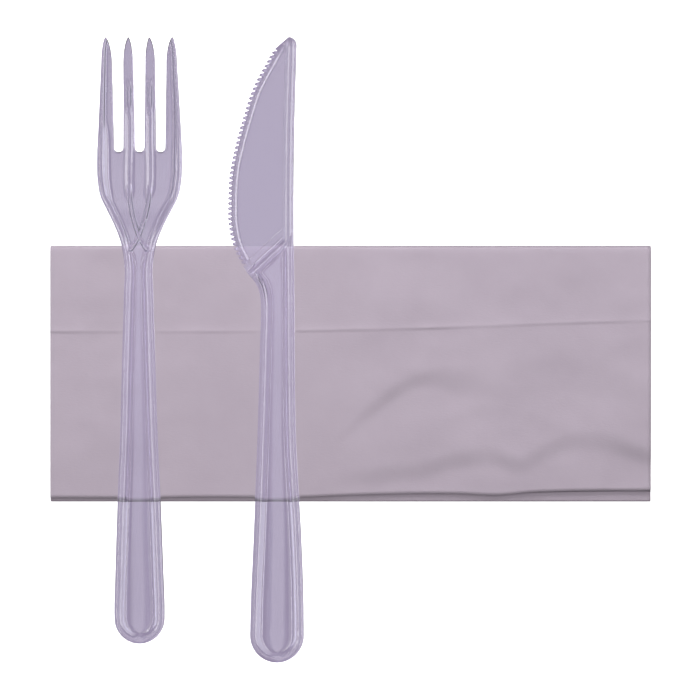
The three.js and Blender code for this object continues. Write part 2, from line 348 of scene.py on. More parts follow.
FORK_LENGTH = 180.6
FORK_END = 7.5                      # radius of the handle's round end
FORK_GATE = ((-0.4, 103.0), 1.0)    # centre and radius of the gate's mark
FORK_EDGES = (0.3, 0.45)            # rounding of the head's upper edge and of the lower edge
FORK_LOWEST = 0.03                  # the underside's lowest height
NECK = (111.0, 118.5)               # the handle's rims turn into the head's flanges here
SLOT_ROOT = 148.05                  # centre of the slots' round bottoms
SLOT_RADIUS = 1.34
SLOT_CENTRES = (0.0, 6.26)          # the middle slot and the right one
SLOT_LEAD = 7                       # rows bend to follow a slot's bottom over this length
SHOULDER = 173.4                    # where the tines draw in to their tips
TINES = (                           # outer and inner edge at the root and at the shoulder, and tip
    ((12.66, 7.6), (11.3, 8.05), 9.95),
    ((4.92, 1.34), (4.77, 1.79), 3.1),
)
FULL_FLANGE = 2.15                  # width that the flange's shapes are drawn for
STEP = 0.24                         # plan width of the flange's step
SOFT_SPAN = (131, 136, 150, 157)    # the left flange falls softly here, in and out
RIB_HALF = 0.74                     # half the width of a low rib's foot
RIB_WALL = 0.44                     # plan width of its walls
RIB_CROWN = 0.14                    # share by which its middle stands above its edges
RIB_SPAN = (116.6, 117.4, 164, 168.5)   # the ribs rise out of the neck and end in the tines
RIB_BROAD = (131, 137, 158, 162)    # they are broad here, in and out
# Columns of a half plan and how far they crowd towards both of their strip's edges: flange, step,
# outer tine, slot, inner tine, rib, inner tine, and half a slot, which crowds to its outer edge.
FORK_STRIPS = (
    (10, 0.3), (14, 0.1), (8, 0.7), (12, 1.0), (5, 0.7), (14, 0.0), (5, 0.7), (7, None),
)
SLOT_STRIPS = (3, 7)
FORK_ROWS = (
    (FORK_END, 110, 52), (110, 130.5, 122), (130.5, SLOT_ROOT, 40), (SLOT_ROOT, SHOULDER, 44),
)
TINE_TIP_ROWS = 20

fork_side = through([
    (0, 7.5), (7.5, 7.5), (9, 7.52), (22, 7.15), (41, 6.48), (61, 5.62), (84, 4.95), (103, 4.4),
    (113.5, 4.25), (118.9, 5.2), (124.5, 7.3), (129.5, 9.8), (133, 11.5), (138, 12.5), (143.5, 12.74),
    (148.05, 12.69), (149.6, 12.66),
])
fork_under = through([
    (-2, 0.3), (4, 0), (25, 1.75), (60, 5.0), (95, 7.7), (110, 8.0), (122, 6.2), (135, 2.4),
    (147, 0.15), (155, 0.45), (167, 3.0), (182, 7.6),
])
fork_thickness = through([
    (-2, 2.6), (4, 3.0), (60, 3.2), (105, 3.3), (118, 2.9), (128, 2.0), (145, 1.9), (165, 1.9),
    (182, 1.1),
])
flange_width = through([(110, 1.9), (137, 2.2), (146, 2.15), (155, 1.6), (170, 1.15), (182, 0.8)])
# Across a full flange and its step, and the share of the dish's depth that it has dropped.
flange_shape = chamfers([
    (0, 0.5), (0.15, 0.25), (0.4, 0.18), (1.05, 0.05), (1.35, 0.05), (2.05, 0.2), (2.15, 0.28),
    (2.42, 0.84), (2.5, 0.9), (2.9, 0.98), (3.3, 1.0), (9, 1.0),
])
soft_flange = chamfers([
    (0, 0.5), (0.15, 0.24), (0.4, 0.15), (0.9, 0.05), (1.35, 0.05), (2.05, 0.2), (3.0, 0.85),
    (3.3, 0.93), (4.2, 1.0), (9, 1.0),
], 0.12)
# Out from a rib's middle: the height of its broad stretch.
broad_rib = chamfers([(0, 0.25), (0.3, 0.235), (1.25, 0.045), (1.8, 0.0), (2.5, 0.0)], 0.1)
rib_line = through([
    (115, -3.6), (117.2, -2.4), (121.5, 0), (125, 1.2), (129.5, 2.35), (135, 3.0), (150, 3.05),
    (182, 3.1),
])


def tine_edge(tine, edge, y):
    """Half-plan x of a tine's outer (0) or inner (1) edge."""
    root, shoulder, tip = tine
    if y <= SHOULDER:
        return mix(root[edge], shoulder[edge], max(y - SLOT_ROOT, 0) / (SHOULDER - SLOT_ROOT))
    t = min((y - SHOULDER) / (FORK_LENGTH - SHOULDER), 1.0)
    return tip + (shoulder[edge] - tip) * (1 - t ** 1.7) ** 0.6


def fork_strip_edges(y):
    """Half-plan x of the lines between strips of columns, from the outline to the middle.

    The smaller mixes keep the lines in order where the fork is too narrow for all of them.
    """
    if y < SLOT_ROOT:
        outer = fork_side(y)
        scale = outer / fork_side(SLOT_ROOT)
        inner = TINES[0][0][1] * scale
        slots = [e * scale for e in TINES[1][0]]
    else:
        outer, inner = (tine_edge(TINES[0], edge, y) for edge in (0, 1))
        slots = [tine_edge(TINES[1], edge, y) for edge in (0, 1)]
    stretch = steepness(fork_side, min(y, SLOT_ROOT))
    head = ramp(y, *NECK)
    width = flange_width(y)
    flange = max(outer - mix(RIM_CREST, width, head) * stretch, mix(inner, outer, 0.35))
    step = max(outer - mix(RIM_FOOT, width + STEP, head) * stretch, mix(inner, flange, 0.25))
    rib = abs(rib_line(y))
    reach = RIB_HALF * 1.1 * steepness(rib_line, y)
    rib_out = min(rib + reach, mix(slots[0], slots[1], 0.1))
    rib_in = min(max(rib - reach, 0.03), rib_out - 0.3)
    middle = min(slots[1], 0.6 * rib_in) if y < SLOT_ROOT else slots[1]
    rib_in = max(rib_in, mix(middle, rib_out, 0.1))
    return [outer, flange, step, inner, slots[0], rib_out, rib_in, middle, 0.0]


def fork_columns():
    """(strip, share across it) of each column of the half plan."""
    columns = [(0, 0.0)]
    for strip, (count, crowd) in enumerate(FORK_STRIPS):
        if crowd is None:
            shares = [1 - math.cos(math.pi / 2 * i / count) for i in range(count + 1)]
        else:
            shares = spread(count, crowd)
        columns += [(strip, share) for share in shares[1:]]
    return columns


def fork_plan():
    """The right half's plan, mirrored, with the slots left open."""
    columns = fork_columns()
    rows = rows_along(FORK_ROWS, FORK_LENGTH, TINE_TIP_ROWS)
    root_row = rows.index(SLOT_ROOT)

    def place(column, row):
        strip, share = columns[column]
        y = rows[row]
        edges = fork_strip_edges(max(y, FORK_END))
        x = mix(edges[strip], edges[strip + 1], share)
        if y < 0:
            turn = math.pi / 2 * y
            return x * math.cos(turn), FORK_END + x * math.sin(turn)
        if strip in SLOT_STRIPS and y <= SLOT_ROOT:
            across = SLOT_RADIUS * (share if strip == SLOT_STRIPS[1] else 1 - abs(2 * share - 1))
            round_drop = math.sqrt(max(SLOT_RADIUS ** 2 - (SLOT_RADIUS - across) ** 2, 0.0))
            y -= round_drop * ramp(y, SLOT_ROOT - SLOT_LEAD, SLOT_ROOT)
        return x, y

    def open_cell(column, row):
        return columns[column + 1][0] in SLOT_STRIPS and row >= root_row

    bm = plan_sheet(len(columns) - 1, len(rows) - 1, place, open_cell)
    bmesh.ops.mirror(bm, geom=bm.verts[:] + bm.edges[:] + bm.faces[:], merge_dist=1e-4, axis="X")
    bmesh.ops.remove_doubles(bm, verts=bm.verts, dist=1e-4)
    return bm


def side_depth(x, y):
    """How far a place lies inside the fork's outer edge, whatever its slots take away."""
    if y < SLOT_ROOT:
        return (fork_side(y) - abs(x)) / steepness(fork_side, y)
    return tine_edge(TINES[0], 0, y) - abs(x)


def fork_depth(x, y):
    """How far a place lies inside the fork's outline."""
    x = abs(x)
    if y < FORK_END:
        return FORK_END - math.hypot(x, FORK_END - y)
    if y < SLOT_ROOT:
        slots = [math.hypot(x - centre, SLOT_ROOT - y) - SLOT_RADIUS for centre in SLOT_CENTRES]
        return max(min(side_depth(x, y), *slots), 0.0)
    return max(max(min(tine_edge(t, 0, y) - x, x - tine_edge(t, 1, y)) for t in TINES), 0.0)


def rib_height(x, y, height):
    """The two ribs: broad and soft in the tines, low and steep-walled where they cross."""
    if not RIB_SPAN[0] < y < RIB_SPAN[3]:
        return 0.0
    lean = steepness(rib_line, y, 0.1)
    broad = between(y, *RIB_BROAD)
    best = 0.0
    for side in (1, -1):
        off = abs(side * x - rib_line(y)) / lean
        low = 0.0
        if off < RIB_HALF:
            crown = 1 + RIB_CROWN * (1 - (off / RIB_HALF) ** 2)
            low = height * crown * (1 - ramp(off, RIB_HALF - RIB_WALL, RIB_HALF))
        best = max(best, mix(low, broad_rib(off), broad))
    return best * between(y, *RIB_SPAN)


def fork_top(sizes):
    """The fork's upper surface as a function of x and y."""

    def handle(x, y, depth):
        sag = channel_sag(depth, fork_side(max(y, FORK_END))) + gate_mark(x, y, *FORK_GATE)
        return fork_thickness(y) - soft_rim(depth) - sag

    def head(x, y, depth):
        width = flange_width(y)
        aside = side_depth(x, y)
        across = aside * FULL_FLANGE / width if aside < width else aside - width + FULL_FLANGE
        soft = between(y, *SOFT_SPAN) if x < 0 else 0.0
        drop = sizes.dish_depth * mix(flange_shape(across), soft_flange(across), soft)
        rib = rib_height(x, y, sizes.rib_height)
        return fork_thickness(y) - drop + rib - rounded(depth, FORK_EDGES[0])

    def top(x, y):
        depth = fork_depth(x, y)
        share = ramp(y, *NECK)
        height = 0.0
        if share < 1:
            height += (1 - share) * handle(x, y, depth)
        if share > 0:
            height += share * head(x, y, depth)
        return fork_under(y) + height

    return top


def fork_bottom(x, y):
    return max(fork_under(y), FORK_LOWEST) + rounded(fork_depth(x, y), FORK_EDGES[1])


# ----------------------------------------------------------------------------------------- knife

KNIFE_LENGTH = 186.3
KNIFE_HEIGHT = 3.0
KNIFE_END = 8.05                    # radius of the handle's round end
KNIFE_GATE = ((-0.1, 8.8), 1.6)     # centre and radius of the gate's mark
KNIFE_EDGES = (0.4, 0.3)            # rounding of the lower edge, and of it along the blade's back
HANDLE_TOP = 100.0                  # the floor sags as it does here all the way on to the wall
STEEP_SIDE = (-1.0, 3.0)            # the rim turns steep between these, to the left of x = 0
WALL_HEEL = (-7.5, 115.3)           # where the slanting wall leaves the front edge
WALL_SLOPE = 0.933
WALL_FAR = (-2.4, 0.2, 0.9)         # end and start of the wall's far slope, and its drop
WALL_REACH = (-4.0, 1.0)            # handle and blade both count between these
WALL_BLEND = 0.1                    # and are rounded by this where they cross
WALL_BELOW = (0.2, 0.8)             # the underside steps from the web's to the handle's here
WEB = (0.12, 2.0)                   # the blade's web, from the knife's underside
WEB_RISE = 0.25                     # how far its underside rises to the teeth
TOOTH_SPAN = (117.8, 183.0)         # the toothed part of the front edge
TOOTH_BAND = 1.85                   # width of the toothed bevel
BEVEL_BAND = 2.9                    # and of both bevels together
GROOVE = (0.45, 0.3)                # depth of the groove behind a notch, and length of its end
RAIL = 2.6                          # width of the rail along the back
RAIL_FOOT = 3.4                     # where its wall meets the web
RAIL_DROP = 0.05                    # how far it stands below the handle's rims
NOSE = (3.5, 183.9)                 # centre of the nose's round corner
NOSE_RADIUS = 2.4
# Columns and how far they crowd: teeth, second bevel, web, rail's slope, rail. They are the same
# from both sides, so that the two halves of the handle's round end meet in shared points.
KNIFE_STRIPS = ((12, 0.4), (18, 0.0), (18, 0.4), (18, 0.0), (12, 0.4))
KNIFE_END_EDGES = (
    -KNIFE_END, RIM_CREST - KNIFE_END, RIM_FOOT - KNIFE_END, KNIFE_END - RIM_FOOT,
    KNIFE_END - RIM_CREST, KNIFE_END,
)
KNIFE_ROWS = (
    (KNIFE_END, 12, 12), (12, 100, 46), (100, 112, 44), (112, 119, 70), (119, TOOTH_SPAN[1], 427),
)
NOSE_ROWS = 18
LEANING_ROWS = (99, 112, 119, 142)  # they lean along the wall here, in and out
BLADE_STARTS = (112, 118)           # the strips turn from the handle's into the blade's here

knife_front = through([
    (8.05, -8.05), (18.6, -7.78), (36.5, -7.0), (66.3, -5.84), (97, -4.95), (104, -4.75), (108, -4.85),
    (110.8, -5.35), (113.1, -6.4), (114.9, -7.8), (116.2, -8.9), (117.6, -9.75), (121, -11.75),
    (124.1, -13.1), (130.4, -14.45), (137.2, -14.6), (146.8, -14.0), (153.9, -12.5), (162.9, -10.0),
    (171.2, -7.2), (177.8, -3.75), (183.1, -0.33), (184.7, 1.56), (186.3, 3.45),
])
knife_spine = through([
    (8.05, 8.05), (18.6, 7.95), (36.5, 7.33), (66.3, 5.65), (90, 5.3), (108, 5.2), (125, 5.0),
    (158.7, 5.2), (183.9, 5.9),
])
# Depth behind the wall's line, and how far the surface has dropped below the rim's crest.
heel_wall = chamfers([
    (0, 0), (0.2, 0.03), (0.45, 0.12), (0.75, 1.15), (1.1, 1.25), (1.8, 1.32), (9, 1.32),
])
# In from the back, and the share of the way from the rail's crest down to the web.
rail_shape = chamfers([
    (0, 0.8), (0.15, 0.4), (0.3, 0.2), (0.55, 0.17), (1.35, 0.01), (1.45, 0.0), (1.95, 0.0),
    (2.65, 0.14), (3.15, 0.93), (3.4, 1.0), (9, 1.0),
])
# In from the teeth's points, and how far the surface lies below the web.
bevel_shape = chamfers([(0, 0.33), (TOOTH_BAND, 0.18), (2.1, 0.15), (2.75, 0.02), (3.0, 0.0), (9, 0.0)])
# From a tooth's point (0) to the notch beside it (1), and the share of the notch's depth.
tooth_shape = through([
    (0, 0), (0.3, 0.04), (0.5, 0.15), (0.65, 0.4), (0.78, 0.78), (0.9, 0.97), (1.0, 1.0),
])


def knife_back(y):
    """x of the back edge: the spine, and the nose's round corner."""
    rise = min(max(y - NOSE[1], 0.0), NOSE_RADIUS)
    return knife_spine(min(y, NOSE[1])) - NOSE_RADIUS + math.sqrt(NOSE_RADIUS ** 2 - rise ** 2)


def front_length():
    """Arc length along the front edge at each tenth of a millimetre of y, for even teeth."""
    step = 0.1
    lengths = [0.0]
    y = TOOTH_SPAN[0]
    while y < TOOTH_SPAN[1]:
        lengths.append(lengths[-1] + math.hypot(step, knife_front(y + step) - knife_front(y)))
        y += step

    def length(place):
        steps = min(max((place - TOOTH_SPAN[0]) / step, 0.0), len(lengths) - 1.001)
        return mix(lengths[int(steps)], lengths[int(steps) + 1], steps % 1.0)

    return length


along_front = front_length()


def tooth(y, pitch):
    """0 at a tooth's round point and 1 in the notch between two."""
    if not TOOTH_SPAN[0] < y < TOOTH_SPAN[1]:
        return 0.0
    phase = (along_front(y) / pitch) % 1.0
    return tooth_shape(1 - abs(2 * phase - 1))


def from_front(x, y):
    """How far a place lies behind the line of the teeth's points."""
    return (x - knife_front(y)) / steepness(knife_front, y)


def from_back(x, y):
    """How far a place lies in front of the back edge."""
    return (knife_back(y) - x) / steepness(knife_back, y)


def below_wall(x, y):
    """How far a place lies below the slanting wall's outer line, towards the handle."""
    return (WALL_HEEL[1] + WALL_SLOPE * (x - WALL_HEEL[0]) - y) / math.hypot(1, WALL_SLOPE)


def knife_depth(x, y):
    """How far a place lies inside the knife's outline."""
    if y < KNIFE_END:
        return KNIFE_END - math.hypot(x, KNIFE_END - y)
    return max(min(from_front(x, y), from_back(x, y)), 0.0)


def knife_strip_edges(y, notch):
    """x of the lines between strips of columns, from the front edge to the back."""
    front, back = knife_front(y), knife_back(y)
    blade = ramp(y, *BLADE_STARTS)
    lean = steepness(knife_front, y)
    teeth = mix(RIM_CREST, TOOTH_BAND, blade) * lean
    bevels = mix(RIM_FOOT, BEVEL_BAND, blade) * lean
    inner = mix(RIM_FOOT, RAIL_FOOT, blade)
    limit = min(1.0, (back - front) / (bevels + inner + 1.0))
    return [
        front + notch, front + max(teeth * limit, notch + 0.1),
        front + max(bevels * limit, notch + 0.2),
        back - inner * limit, back - RIM_CREST * limit, back,
    ]


def knife_plan(sizes):
    """The knife's plan, with its teeth."""
    columns = [(0, 0.0)]
    for strip, (count, crowd) in enumerate(KNIFE_STRIPS):
        columns += [(strip, share) for share in spread(count, crowd)[1:]]
    rows = rows_along(KNIFE_ROWS, KNIFE_LENGTH, NOSE_ROWS)

    def place(column, row):
        strip, share = columns[column]
        y = rows[row]
        notch = sizes.tooth_depth * tooth(y, sizes.tooth_pitch)
        edges = KNIFE_END_EDGES if y < 0 else knife_strip_edges(y, notch)
        x = mix(edges[strip], edges[strip + 1], share)
        if y < 0:
            turn = math.pi / 2 * abs(y)
            return x * math.cos(turn), KNIFE_END - abs(x) * math.sin(turn)
        lean = WALL_SLOPE * max(x - WALL_HEEL[0], 0.0) * between(y, *LEANING_ROWS)
        if lean > 0 and strip > 0:
            y += lean
            edges = knife_strip_edges(y, 0.0)
            x = mix(edges[strip], edges[strip + 1], share)
        return x, y

    return plan_sheet(len(columns) - 1, len(rows) - 1, place)


def knife_top(sizes):
    """The knife's upper surface as a function of x and y."""

    def handle(x, y):
        depth = knife_depth(x, y)
        wall = below_wall(x, y)
        reach = min(max(y, KNIFE_END), HANDLE_TOP)
        half = (knife_back(reach) - knife_front(reach)) / 2
        sag = channel_sag(depth, half) + gate_mark(x, y, *KNIFE_GATE)
        sides = mix(soft_rim(depth), steep_rim(depth), ramp(-x, *STEEP_SIDE)) + sag
        end = heel_wall(max(wall, 0.0)) + sag
        drop = min(sides, end) if depth > RIM_CREST else sides
        far_end, far_start, far_drop = WALL_FAR
        slope = far_drop * (1 - ramp(wall, far_end, far_start))
        return KNIFE_HEIGHT - (soft_max(drop, slope, WALL_BLEND) if slope > 0 else drop)

    def blade(x, y):
        front = from_front(x, y)
        back = from_back(x, y)
        gap = tooth(y, sizes.tooth_pitch)
        depth, end = GROOVE
        groove = depth * gap * gap * (1 - ramp(front, TOOTH_BAND - end, TOOTH_BAND))
        web = WEB[1] - bevel_shape(front) - groove
        rail = KNIFE_HEIGHT - RAIL_DROP - (KNIFE_HEIGHT - WEB[1]) * rail_shape(back)
        if back < RAIL:
            return rail
        return max(web, rail) if back < RAIL_FOOT else web

    def top(x, y):
        wall = below_wall(x, y)
        if wall > WALL_REACH[1]:
            return handle(x, y)
        if wall < WALL_REACH[0]:
            return blade(x, y)
        return soft_max(handle(x, y), blade(x, y), WALL_BLEND)

    return top


def knife_bottom(x, y):
    lower_edge, back_edge = KNIFE_EDGES
    flat = rounded(knife_depth(x, y), lower_edge)
    wall = below_wall(x, y)
    if wall > WALL_BELOW[1]:
        return flat
    web = WEB[0] + WEB_RISE * (1 - ramp(from_front(x, y), 0, BEVEL_BAND))
    return mix(web + rounded(from_back(x, y), back_edge), flat, ramp(wall, *WALL_BELOW))


# ---------------------------------------------------------------------------------------- napkin

SHEET = (358.0, 299.4)              # the tissue laid flat, across and along
SHORT = 2.4                         # how far the upper pile stops short of the lower one
UPPER_PILE = (0.49, 0.54)           # it starts between these shares of the napkin's height
PRESSED = ((-69.0, -57.0), (-28.2, -15.6))  # the cutlery lies on it between these
PRESSED_RIM = 1.5                   # width over which the pressed parts end
PRESSED_OUT = 0.9                   # share of the ledge that they are pushed out over
RIGHT_LOOSE = (-9.0, 12.0)          # right of these the upper pile stands up
LEFT_LOOSE = (-48.0, -38.0)         # left of these it is a little loose
LEFT_RISE = (0.3, -43, -15)         # it rises there by the first, between the others
PUFF = 2.2                          # most that the loose pile stands above its pressed height
UPPER_FALL = (1.1, 0.7)             # how far it falls over the upper brow, left and right
UPPER_WIDTH = (6.0, 12.0)           # over what width, left and right
LOWER_FALL = (1.1, 7.0)             # how far it falls over the lower brow, and over what width
RIPPLES = ((0.32, 21.0), (0.12, 8.0))   # height and size of its ripples
RIPPLES_LONG = 1.5                  # how much longer they are across the sheet than along it
RIPPLES_HELD = 0.25                 # share of them left between fork and knife
RIPPLES_START = (-46, -38)          # they start between these, near the open edge
CREASE_HEIGHT = 0.34
CREASE_SLOPES = (3.0, 0.9)          # width of its slopes above and below its line

crease_line = through([(-89.5, 5.7), (-15, 5.95), (35.6, 7.15), (62.4, 8.2), (89.5, 8.95)])
upper_brow = through([
    (-10, -30), (-4, -24), (6, -15), (16.5, -7.7), (25, -5), (40, -3.5), (62, -1.6), (80, -5),
    (89.5, -10),
])
lower_brow = through([
    (-10, -36), (10, -34), (20, -32.5), (32, -29.5), (44, -28.5), (50, -31), (58, -27), (66, -24),
    (76, -24), (89.5, -29),
])
open_edge = through([
    (-89.5, -1.3), (-70, -1.35), (-40, -1.1), (-15, -1.15), (4, -0.35), (32, 0.0), (44, -0.45),
    (54, 0.45), (64, 0.85), (89.5, 1.1),
])


def soft_noise(x, y, size):
    """Even noise with features of a size, from about -1 to 1."""
    return noise.noise((x / size, y / size, 3.7)) * 1.4


def pressed(x):
    """1 where the cutlery lies on the napkin and presses it flat, and 0 beside it."""
    return max(
        between(x, low, low + PRESSED_RIM, high - PRESSED_RIM, high) for low, high in PRESSED
    )


def crease(x, y):
    """The ridge that an earlier fold left: a long slope above it and a short one below."""
    above = y - crease_line(x)
    upper, lower = CREASE_SLOPES
    rise = max(1 - above / upper, 0.0) ** 3 if above > 0 else 1 - ramp(-above, 0.0, lower)
    strength = max(0.75 + 0.5 * soft_noise(x, 0.0, 16.0), 0.25)
    return CREASE_HEIGHT * strength * rise * (1 - pressed(x))


def lift(x, y):
    """How far the napkin's top stands above its pressed height."""
    right = ramp(x, *RIGHT_LOOSE)
    left = 1 - ramp(x, *LEFT_LOOSE)
    upper_fall = mix(*UPPER_FALL, ramp(x, 25, 45))
    upper_width = mix(*UPPER_WIDTH, ramp(x, 20, 40))
    lower_fall, lower_width = LOWER_FALL
    puff = PUFF - upper_fall * ramp(upper_brow(x) - y, 0.0, upper_width)
    puff -= lower_fall * ramp(lower_brow(x) - y, 0.0, lower_width)
    left_rise, rise_low, rise_high = LEFT_RISE
    low = left_rise * left * ramp(y, rise_low, rise_high)
    ripples = sum(height * soft_noise(x, RIPPLES_LONG * y, size) for height, size in RIPPLES)
    ripples *= mix(RIPPLES_HELD, 1.0, max(right, left)) * ramp(y, *RIPPLES_START)
    return right * puff + low + ripples + crease(x, y)


def fold(place, out, radius):
    """A halving fold: place from the fold line and out from the layer's middle surface."""
    quarter = math.pi / 2 * radius
    if place >= quarter:
        return place - quarter, radius + out
    if place <= -quarter:
        return -place - quarter, -(radius + out)
    turn = place / radius
    return -(radius + out) * math.cos(turn), (radius + out) * math.sin(turn)


def stations(*spans):
    """Places from (start, end, step) spans that follow on from each other."""
    places = [spans[0][0]]
    for start, end, step in spans:
        count = max(round((end - start) / step), 1)
        places += [mix(start, end, i / count) for i in range(1, count + 1)]
    return places


def napkin_layers(sizes):
    """The thickness of 1, 2, 4 and 8 leaves, and each fold's bend radius."""
    thick = [sizes.leaf / MM]
    air = sizes.air / MM
    for _ in range(3):
        thick.append(2 * thick[-1] + air)
    return thick, [(t + air) / 2 for t in thick[:3]]


def folded_sheet(sizes):
    """The tissue folded in half three times, as one closed sheet with all its leaves."""
    thick, radius = napkin_layers(sizes)
    q = [math.pi / 2 * r for r in radius]    # how far a bend takes tissue from each side of its line
    half_x, half_y = SHEET[0] / 2, SHEET[1] / 2
    open_end = half_y - q[1]
    folded_end = -(radius[1] + thick[1] / 2)
    last_line = (open_end + folded_end + SHORT) / 2
    turn_up = last_line + q[1]
    # Short steps lie in the bends and on the top, and the shortest along the old crease.
    xs = stations((-half_x, -q[0], 5.0), (-q[0], q[0], q[0] / 3), (q[0], half_x, 1.2))
    ys = stations(
        (-half_y, -turn_up - q[2], 5.0), (-turn_up - q[2], -turn_up + q[2], q[2] / 3),
        (-turn_up + q[2], -q[1], 5.0), (-q[1], q[1], q[1] / 3), (q[1], turn_up - q[2], 5.0),
        (turn_up - q[2], turn_up + q[2], q[2] / 4), (turn_up + q[2], turn_up + 20, 1.4),
        (turn_up + 20, turn_up + 28, 0.35), (turn_up + 28, half_y, 1.0))
    columns, rows = len(xs) - 1, len(ys) - 1

    def folded(across, along, out):
        x, up = fold(across, out, radius[0])
        y, up = fold(along, up, radius[1])
        return (x, *fold(y - last_line, up, radius[2]))

    bm = bmesh.new()
    bmesh.ops.create_grid(bm, x_segments=columns, y_segments=rows, size=0.5)
    made = bmesh.ops.extrude_face_region(bm, geom=bm.faces[:])
    lower = {v for v in made["geom"] if isinstance(v, bmesh.types.BMVert)}
    half = thick[0] / 2
    for vertex in bm.verts:
        across = xs[round((vertex.co.x + 0.5) * columns)]
        along = ys[round((vertex.co.y + 0.5) * rows)]
        vertex.co = folded(across, along, -half if vertex in lower else half)
    return bm


def napkin_mesh(sizes, corner_low, corner_high):
    """The folded tissue laid between two corners, with its upper pile let loose."""
    bm = folded_sheet(sizes)
    (low_x, high_x), (low_y, high_y), (low_z, high_z) = (
        (min(v.co[axis] for v in bm.verts), max(v.co[axis] for v in bm.verts)) for axis in range(3)
    )
    shift_x = (corner_low.x + corner_high.x) / 2 - (low_x + high_x) / 2
    for vertex in bm.verts:
        x = vertex.co.x + shift_x
        from_fold = vertex.co.y - low_y
        y = corner_high.y - from_fold
        z = vertex.co.z - low_z
        share = z / (high_z - low_z)
        upper = ramp(share, *UPPER_PILE) * (from_fold / (high_y - low_y)) ** 2
        y += mix(open_edge(x), -PRESSED_OUT * SHORT, pressed(x)) * upper
        vertex.co = (x, y, z + share * lift(x, y))
    face_outwards(bm)
    return bm


# ------------------------------------------------------------------------------------ properties


class CutleryPlastic(bpy.types.PropertyGroup):
    tint: StringProperty(
        name="Tint", description="sRGB colour that the plastic lets through", default="#E1DEF4")
    roughness: FloatProperty(name="Roughness", description="Surface haze", default=0.03, min=0.0, max=1.0)


class CutleryTissue(bpy.types.PropertyGroup):
    dye: StringProperty(name="Dye", description="sRGB colour of the tissue", default="#B1A5B2")
    shade: StringProperty(name="Shade", description="sRGB colour of its darker clouds", default="#AB9FAC")


class CutleryFork(bpy.types.PropertyGroup):
    dish_depth: FloatProperty(name="Dish depth", description="Step down from the flange, mm", default=1.05)
    rib_height: FloatProperty(name="Rib height", description="Ribs above the palm, mm", default=1.15)


class CutleryKnife(bpy.types.PropertyGroup):
    tooth_pitch: FloatProperty(
        name="Tooth pitch", description="Between two teeth's points, mm", default=1.53)
    tooth_depth: FloatProperty(name="Tooth depth", description="From point to notch, mm", default=1.15)


class CutleryNapkin(bpy.types.PropertyGroup):
    leaf: FloatProperty(
        name="Leaf", description="Thickness of the two plies", default=0.22 * MM, unit="LENGTH",
        precision=5)
    air: FloatProperty(
        name="Air", description="Air between two leaves", default=0.1 * MM, unit="LENGTH",
        precision=5)


class CutleryPack(bpy.types.PropertyGroup):
    plastic: PointerProperty(type=CutleryPlastic)
    tissue: PointerProperty(type=CutleryTissue)
    fork: PointerProperty(type=CutleryFork)
    knife: PointerProperty(type=CutleryKnife)
    napkin: PointerProperty(type=CutleryNapkin)


# ------------------------------------------------------------------------------------- operators


def new_moulding(bm, name, pack, origin):
    """A shown piece of the clear plastic, which the light goes through without a shadow."""
    plastic = bpy.data.materials.get("crystal_polystyrene") or crystal_polystyrene(pack.plastic)
    piece = new_piece(bm, name, plastic, origin)
    piece.visible_shadow = piece.visible_diffuse = False
    return piece


class CUTLERY_OT_fork(bpy.types.Operator):
    """Moulds the fork, with its rims, flanges and crossing ribs"""

    bl_idname = "cutlery.fork"
    bl_label = "Fork"

    def execute(self, context):
        pack = context.scene.cutlery_pack
        low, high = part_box("fork")
        bm = fork_plan()
        give_body(bm, fork_top(pack.fork), fork_bottom)
        piece = new_moulding(bm, "fork_moulding", pack, ((low.x + high.x) / 2, low.y, 0.0))
        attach(piece, "root")
        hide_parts("fork")
        return {"FINISHED"}


class CUTLERY_OT_knife(bpy.types.Operator):
    """Moulds the knife, with its channelled handle, rail and teeth"""

    bl_idname = "cutlery.knife"
    bl_label = "Knife"

    def execute(self, context):
        pack = context.scene.cutlery_pack
        low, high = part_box("knife")
        bm = knife_plan(pack.knife)
        give_body(bm, knife_top(pack.knife), knife_bottom)
        origin = (high.x - KNIFE_END * MM, low.y, low.z)
        piece = new_moulding(bm, "knife_moulding", pack, origin)
        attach(piece, "root")
        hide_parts("knife")
        return {"FINISHED"}


class CUTLERY_OT_napkin(bpy.types.Operator):
    """Folds the tissue three times and gives it its crease and wrinkles"""

    bl_idname = "cutlery.napkin"
    bl_label = "Napkin"

    def execute(self, context):
        pack = context.scene.cutlery_pack
        low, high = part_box("napkin")
        bm = napkin_mesh(pack.napkin, low / MM, high / MM)
        piece = new_piece(bm, "napkin_tissue", dyed_tissue(pack.tissue), (0.0, 0.0, 0.0))
        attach(piece, "root")
        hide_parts("napkin")
        return {"FINISHED"}


class CUTLERY_OT_stage(bpy.types.Operator):
    """Sets the floor, the lights and the camera"""

    bl_idname = "cutlery.stage"
    bl_label = "Stage"

    def execute(self, context):
        scene = context.scene
        scene.view_settings.view_transform = "Standard"
        make_cove(scene)
        make_world(scene)
        make_lights(scene)
        make_camera(scene)
        return {"FINISHED"}


VIEW_WIDTH = 0.2086                 # width of the view, at the pack
VIEW_CENTRE = (-0.00015, 0.0, 0.003)    # what the camera looks at
LENS = 300.0
SENSOR = 36.0
COVE_RADIUS = 3.4
COVE_HEIGHT = 1.8
COVE_SWEEP = 0.5                    # radius of the curve between its floor and its wall
COVE_STEPS = 8                      # straight pieces in that curve
COVE_GAP = 0.0003                   # how far the floor lies below the pack


def make_camera(scene):
    """Straight above the pack, far enough away that the sides of things don't show."""
    data = bpy.data.cameras.new("camera")
    data.lens = LENS
    data.sensor_width = SENSOR
    camera = bpy.data.objects.new("camera", data)
    x, y, z = VIEW_CENTRE
    camera.location = (x, y, z + VIEW_WIDTH * LENS / SENSOR)
    scene.collection.objects.link(camera)
    scene.camera = camera


